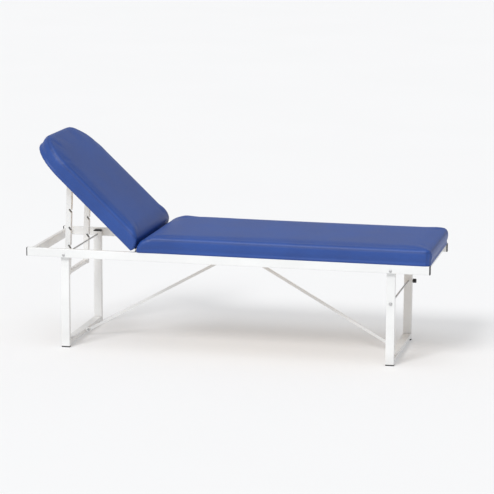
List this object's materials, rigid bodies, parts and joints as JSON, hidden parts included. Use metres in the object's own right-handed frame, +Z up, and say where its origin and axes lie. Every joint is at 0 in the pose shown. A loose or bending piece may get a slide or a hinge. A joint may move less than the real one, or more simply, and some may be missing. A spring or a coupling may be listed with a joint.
{
  "type": "examination couch",
  "caption": "Padded examination couch with a hinged backrest on a notched prop, and braced leg frames that fold under it.",
  "frame": {"origin": "on the floor under the middle of the couch's overall box", "axes": "+X towards the foot end, +Y towards the left side of a person lying on it, +Z up"},
  "size_m": [1.91, 0.61, 0.9845],
  "materials": {
    "white_enamel": "satin white epoxy paint",
    "zinc_steel": "zinc plated",
    "black_plastic": "matte moulded",
    "white_plastic": "matte moulded",
    "blue_vinyl": "grained upholstery vinyl over foam",
    "plywood": "raw birch plywood"
  },
  "bodies": {
    "frame": {"side_rail_right": "white_enamel", "side_rail_left": "white_enamel", "rail_end_caps": "black_plastic", "crossbar_head": "white_enamel", "crossbar_hinge": "white_enamel", "crossbar_centre": "white_enamel", "crossbar_foot": "white_enamel", "head_axle": "zinc_steel", "foot_axle": "zinc_steel", "axle_nuts": "zinc_steel", "pivot_washers": "white_plastic", "centre_bracket": "white_enamel", "hook_bolt": "zinc_steel", "seat_board": "plywood", "seat_cushion": "blue_vinyl", "seat_screws": "zinc_steel", "hinge_fixed_leaves": "zinc_steel", "hinge_pins": "zinc_steel", "hinge_bar_screws": "zinc_steel"},
    "backrest": {"backrest_board": "plywood", "backrest_cushion": "blue_vinyl", "hinge_moving_leaves": "zinc_steel", "hinge_board_screws": "zinc_steel", "prop_brackets": "white_enamel", "prop_bracket_screws": "zinc_steel", "prop_pivot_rod": "zinc_steel"},
    "prop": {"prop_arm_right": "white_enamel", "prop_arm_left": "white_enamel", "prop_plugs": "white_plastic", "prop_low_bar": "white_enamel"},
    "head_legs": {"head_leg_right": "white_enamel", "head_leg_left": "white_enamel", "head_leg_caps": "black_plastic", "head_leg_feet": "black_plastic", "head_leg_bar": "white_enamel", "head_brace_lug": "white_enamel", "head_brace_pin": "zinc_steel"},
    "head_brace": {"head_brace": "white_enamel"},
    "foot_legs": {"foot_leg_right": "white_enamel", "foot_leg_left": "white_enamel", "foot_leg_caps": "black_plastic", "foot_leg_feet": "black_plastic", "foot_leg_bar": "white_enamel", "foot_brace_lug": "white_enamel", "foot_brace_pin": "zinc_steel"},
    "foot_brace": {"foot_brace": "white_enamel"},
    "roll_bar": {"roll_bar": "zinc_steel", "roll_bar_head": "zinc_steel"},
    "clamp_knob": {"clamp_knob": "black_plastic", "clamp_screw": "zinc_steel"},
    "hand_nut": {"hand_nut": "black_plastic"}
  },
  "joints": [
    {"name": "backrest_tilt", "type": "hinge", "parent": "frame", "child": "backrest", "pos_m": [-0.441, 0, 0.4725], "axis": [0, 1, 0], "range_deg": [-43.4, 11.6]},
    {"name": "prop_swing", "type": "hinge", "parent": "backrest", "child": "prop", "pos_m": [-0.78392, 0, 0.77063], "axis": [0, 1, 0], "range_deg": [0, 8]},
    {"name": "head_legs_fold", "type": "hinge", "parent": "frame", "child": "head_legs", "pos_m": [-0.773, 0, 0.447], "axis": [0, -1, 0], "range_deg": [0, 81]},
    {"name": "head_brace_fold", "type": "hinge", "parent": "head_legs", "child": "head_brace", "pos_m": [-0.739, -0.008, 0.029], "axis": [0, 1, 0], "range_deg": [0, 110.33]},
    {"name": "foot_legs_fold", "type": "hinge", "parent": "frame", "child": "foot_legs", "pos_m": [0.773, 0, 0.447], "axis": [0, 1, 0], "range_deg": [0, 81]},
    {"name": "foot_brace_fold", "type": "hinge", "parent": "foot_legs", "child": "foot_brace", "pos_m": [0.739, 0.008, 0.029], "axis": [0, -1, 0], "range_deg": [0, 110.33]},
    {"name": "roll_bar_slide", "type": "slide", "parent": "foot_legs", "child": "roll_bar", "axis": [0, -1, 0], "range_m": [0, 0.53]},
    {"name": "clamp_knob_turn", "type": "hinge", "parent": "foot_legs", "child": "clamp_knob", "pos_m": [0.8, 0.2685, 0.291], "axis": [1, 0, 0], "continuous": true},
    {"name": "hand_nut_turn", "type": "hinge", "parent": "frame", "child": "hand_nut", "pos_m": [0, 0.02, 0.444], "axis": [0, 1, 0], "continuous": true}
  ],
  "couplings": [
    {"joint": "head_brace_fold", "follows": "head_legs_fold", "ratio": 1.3619},
    {"joint": "foot_brace_fold", "follows": "foot_legs_fold", "ratio": 1.3619}
  ]
}
